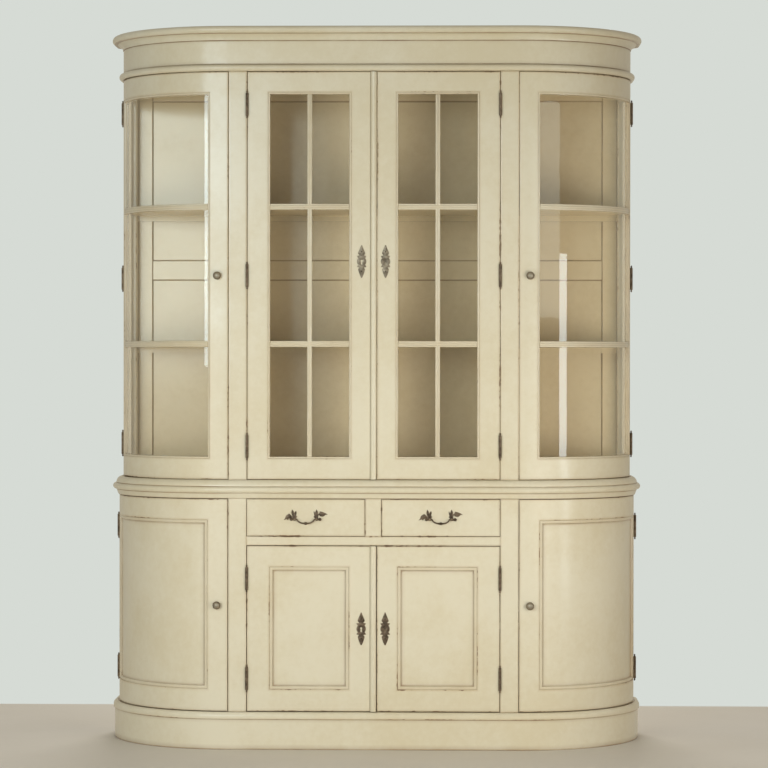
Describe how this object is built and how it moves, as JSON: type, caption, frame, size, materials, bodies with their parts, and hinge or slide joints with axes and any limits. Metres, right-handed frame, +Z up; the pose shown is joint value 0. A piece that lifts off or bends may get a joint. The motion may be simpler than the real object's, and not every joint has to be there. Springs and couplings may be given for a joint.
{
  "type": "kitchen dresser",
  "caption": "Painted kitchen dresser with bowed ends: glazed display doors over panelled cupboards and drawers, on a plinth with rounded corners.",
  "frame": {"origin": "on the floor, under the middle of the dresser's width and depth", "axes": "+Z up, -Y out of the front, +X to the right as seen from the front"},
  "size_m": [1.744, 0.488, 2.3],
  "materials": {
    "cream_paint": "glazed cream paint, satin",
    "pane_glass": "clear",
    "aged_bronze": "dark aged bronze",
    "bare_wood": "oiled"
  },
  "bodies": {
    "case": {"plinth": "cream_paint", "base_board": "cream_paint", "base_moulding": "cream_paint", "lower_top": "cream_paint", "upper_base": "cream_paint", "top_board": "cream_paint", "waist_moulding": "cream_paint", "frieze": "cream_paint", "cornice": "cream_paint", "dust_top": "cream_paint", "lower_face_frame": "cream_paint", "upper_stiles": "cream_paint", "partitions": "cream_paint", "end_posts": "cream_paint", "lower_back": "cream_paint", "upper_back": "cream_paint", "shelves": "cream_paint", "drawer_runners": "bare_wood", "case_hinge_leaves": "aged_bronze"},
    "upper_left_end_door": {"upper_left_end_door_frame": "cream_paint", "upper_left_end_door_glass": "pane_glass", "upper_left_end_door_knob": "aged_bronze", "upper_left_end_door_hinge_leaves": "aged_bronze"},
    "upper_left_centre_door": {"upper_left_centre_door_frame": "cream_paint", "upper_left_centre_door_glass": "pane_glass", "upper_left_centre_door_keyhole_plate": "aged_bronze", "upper_left_centre_door_hinge_leaves": "aged_bronze"},
    "upper_right_end_door": {"upper_right_end_door_frame": "cream_paint", "upper_right_end_door_glass": "pane_glass", "upper_right_end_door_knob": "aged_bronze", "upper_right_end_door_hinge_leaves": "aged_bronze"},
    "upper_right_centre_door": {"upper_right_centre_door_frame": "cream_paint", "upper_right_centre_door_glass": "pane_glass", "upper_right_centre_door_keyhole_plate": "aged_bronze", "upper_right_centre_door_hinge_leaves": "aged_bronze"},
    "lower_left_end_door": {"lower_left_end_door_frame": "cream_paint", "lower_left_end_door_panel": "cream_paint", "lower_left_end_door_knob": "aged_bronze", "lower_left_end_door_hinge_leaves": "aged_bronze"},
    "lower_left_centre_door": {"lower_left_centre_door_frame": "cream_paint", "lower_left_centre_door_panel": "cream_paint", "lower_left_centre_door_keyhole_plate": "aged_bronze", "lower_left_centre_door_hinge_leaves": "aged_bronze"},
    "lower_right_end_door": {"lower_right_end_door_frame": "cream_paint", "lower_right_end_door_panel": "cream_paint", "lower_right_end_door_knob": "aged_bronze", "lower_right_end_door_hinge_leaves": "aged_bronze"},
    "lower_right_centre_door": {"lower_right_centre_door_frame": "cream_paint", "lower_right_centre_door_panel": "cream_paint", "lower_right_centre_door_keyhole_plate": "aged_bronze", "lower_right_centre_door_hinge_leaves": "aged_bronze"},
    "left_drawer": {"left_drawer_front": "cream_paint", "left_drawer_box": "bare_wood", "left_pull_mounts": "aged_bronze"},
    "left_bail": {"left_bail": "aged_bronze"},
    "right_drawer": {"right_drawer_front": "cream_paint", "right_drawer_box": "bare_wood", "right_pull_mounts": "aged_bronze"},
    "right_bail": {"right_bail": "aged_bronze"}
  },
  "joints": [
    {"name": "upper_left_end_door_swing", "type": "hinge", "parent": "case", "child": "upper_left_end_door", "pos_m": [-0.8408, 0.166, 1.5], "axis": [0, 0, -1], "range_deg": [0, 110]},
    {"name": "upper_left_centre_door_swing", "type": "hinge", "parent": "case", "child": "upper_left_centre_door", "pos_m": [-0.403, -0.2118, 1.5], "axis": [0, 0, -1], "range_deg": [0, 110]},
    {"name": "upper_right_end_door_swing", "type": "hinge", "parent": "case", "child": "upper_right_end_door", "pos_m": [0.8408, 0.166, 1.5], "axis": [0, 0, 1], "range_deg": [0, 110]},
    {"name": "upper_right_centre_door_swing", "type": "hinge", "parent": "case", "child": "upper_right_centre_door", "pos_m": [0.403, -0.2118, 1.5], "axis": [0, 0, 1], "range_deg": [0, 110]},
    {"name": "lower_left_end_door_swing", "type": "hinge", "parent": "case", "child": "lower_left_end_door", "pos_m": [-0.8538, 0.166, 0.4585], "axis": [0, 0, -1], "range_deg": [0, 110]},
    {"name": "lower_left_centre_door_swing", "type": "hinge", "parent": "case", "child": "lower_left_centre_door", "pos_m": [-0.403, -0.2248, 0.384], "axis": [0, 0, -1], "range_deg": [0, 110]},
    {"name": "lower_right_end_door_swing", "type": "hinge", "parent": "case", "child": "lower_right_end_door", "pos_m": [0.8538, 0.166, 0.4585], "axis": [0, 0, 1], "range_deg": [0, 110]},
    {"name": "lower_right_centre_door_swing", "type": "hinge", "parent": "case", "child": "lower_right_centre_door", "pos_m": [0.403, -0.2248, 0.384], "axis": [0, 0, 1], "range_deg": [0, 110]},
    {"name": "left_drawer_slide", "type": "slide", "parent": "case", "child": "left_drawer", "axis": [0, -1, 0], "range_m": [0, 0.3]},
    {"name": "left_bail_swing", "type": "hinge", "parent": "left_drawer", "child": "left_bail", "pos_m": [-0.21475, -0.23, 0.7325], "axis": [-1, 0, 0], "range_deg": [0, 85]},
    {"name": "right_drawer_slide", "type": "slide", "parent": "case", "child": "right_drawer", "axis": [0, -1, 0], "range_m": [0, 0.3]},
    {"name": "right_bail_swing", "type": "hinge", "parent": "right_drawer", "child": "right_bail", "pos_m": [0.21475, -0.23, 0.7325], "axis": [-1, 0, 0], "range_deg": [0, 85]}
  ]
}
